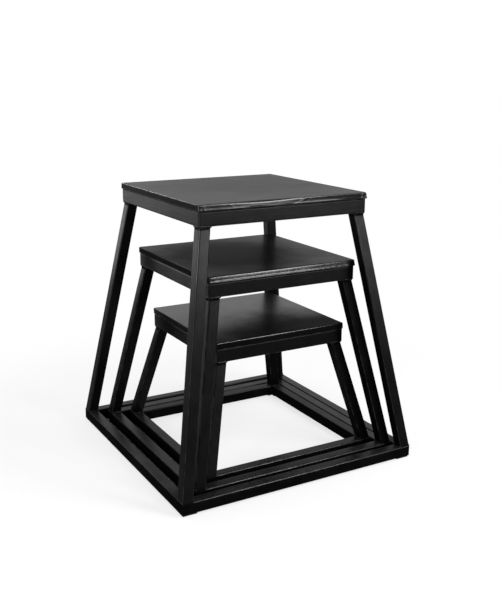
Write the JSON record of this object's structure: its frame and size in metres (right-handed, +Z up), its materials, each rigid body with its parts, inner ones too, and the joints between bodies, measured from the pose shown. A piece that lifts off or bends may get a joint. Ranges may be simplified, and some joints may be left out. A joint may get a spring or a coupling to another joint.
{
  "type": "nesting plyo box set",
  "caption": "Nesting set of open steel plyo boxes: leaning square-tube legs between mitred base and top frames, with black non-slip decks for jump and step training.",
  "frame": {"origin": "on the floor under the middle of the tall box's base frame", "axes": "+Z up out of the landing surfaces; the front of the set faces -Y and its right side +X"},
  "size_m": [0.5806, 0.5806, 0.6096],
  "materials": {
    "frame_coat": "satin black powder coat on steel tube",
    "deck_board": "black stained plywood",
    "deck_cover": "fine grained matt black vinyl, wrapped over the board",
    "deck_screw": "zinc plated",
    "foot_pad": "matt black rubber"
  },
  "bodies": {
    "small": {"small_base_rail_front": "frame_coat", "small_base_rail_right": "frame_coat", "small_base_rail_back": "frame_coat", "small_base_rail_left": "frame_coat", "small_leg_front_right": "frame_coat", "small_leg_back_right": "frame_coat", "small_leg_back_left": "frame_coat", "small_leg_front_left": "frame_coat", "small_top_rail_front": "frame_coat", "small_top_rail_right": "frame_coat", "small_top_rail_back": "frame_coat", "small_top_rail_left": "frame_coat", "small_deck_board": "deck_board", "small_deck_cover": "deck_cover", "small_deck_tabs": "frame_coat", "small_deck_screws": "deck_screw", "small_foot_pads": "foot_pad"},
    "medium": {"medium_base_rail_front": "frame_coat", "medium_base_rail_right": "frame_coat", "medium_base_rail_back": "frame_coat", "medium_base_rail_left": "frame_coat", "medium_leg_front_right": "frame_coat", "medium_leg_back_right": "frame_coat", "medium_leg_back_left": "frame_coat", "medium_leg_front_left": "frame_coat", "medium_top_rail_front": "frame_coat", "medium_top_rail_right": "frame_coat", "medium_top_rail_back": "frame_coat", "medium_top_rail_left": "frame_coat", "medium_deck_board": "deck_board", "medium_deck_cover": "deck_cover", "medium_deck_tabs": "frame_coat", "medium_deck_screws": "deck_screw", "medium_foot_pads": "foot_pad"},
    "tall": {"tall_base_rail_front": "frame_coat", "tall_base_rail_right": "frame_coat", "tall_base_rail_back": "frame_coat", "tall_base_rail_left": "frame_coat", "tall_leg_front_right": "frame_coat", "tall_leg_back_right": "frame_coat", "tall_leg_back_left": "frame_coat", "tall_leg_front_left": "frame_coat", "tall_top_rail_front": "frame_coat", "tall_top_rail_right": "frame_coat", "tall_top_rail_back": "frame_coat", "tall_top_rail_left": "frame_coat", "tall_deck_board": "deck_board", "tall_deck_cover": "deck_cover", "tall_deck_tabs": "frame_coat", "tall_deck_screws": "deck_screw", "tall_foot_pads": "foot_pad"}
  },
  "joints": [
    {"name": "medium_lift", "type": "slide", "parent": "small", "child": "medium", "axis": [0, 0, 1], "range_m": [0, 0.32]},
    {"name": "tall_lift", "type": "slide", "parent": "medium", "child": "tall", "axis": [0, 0, 1], "range_m": [0, 0.475]}
  ]
}
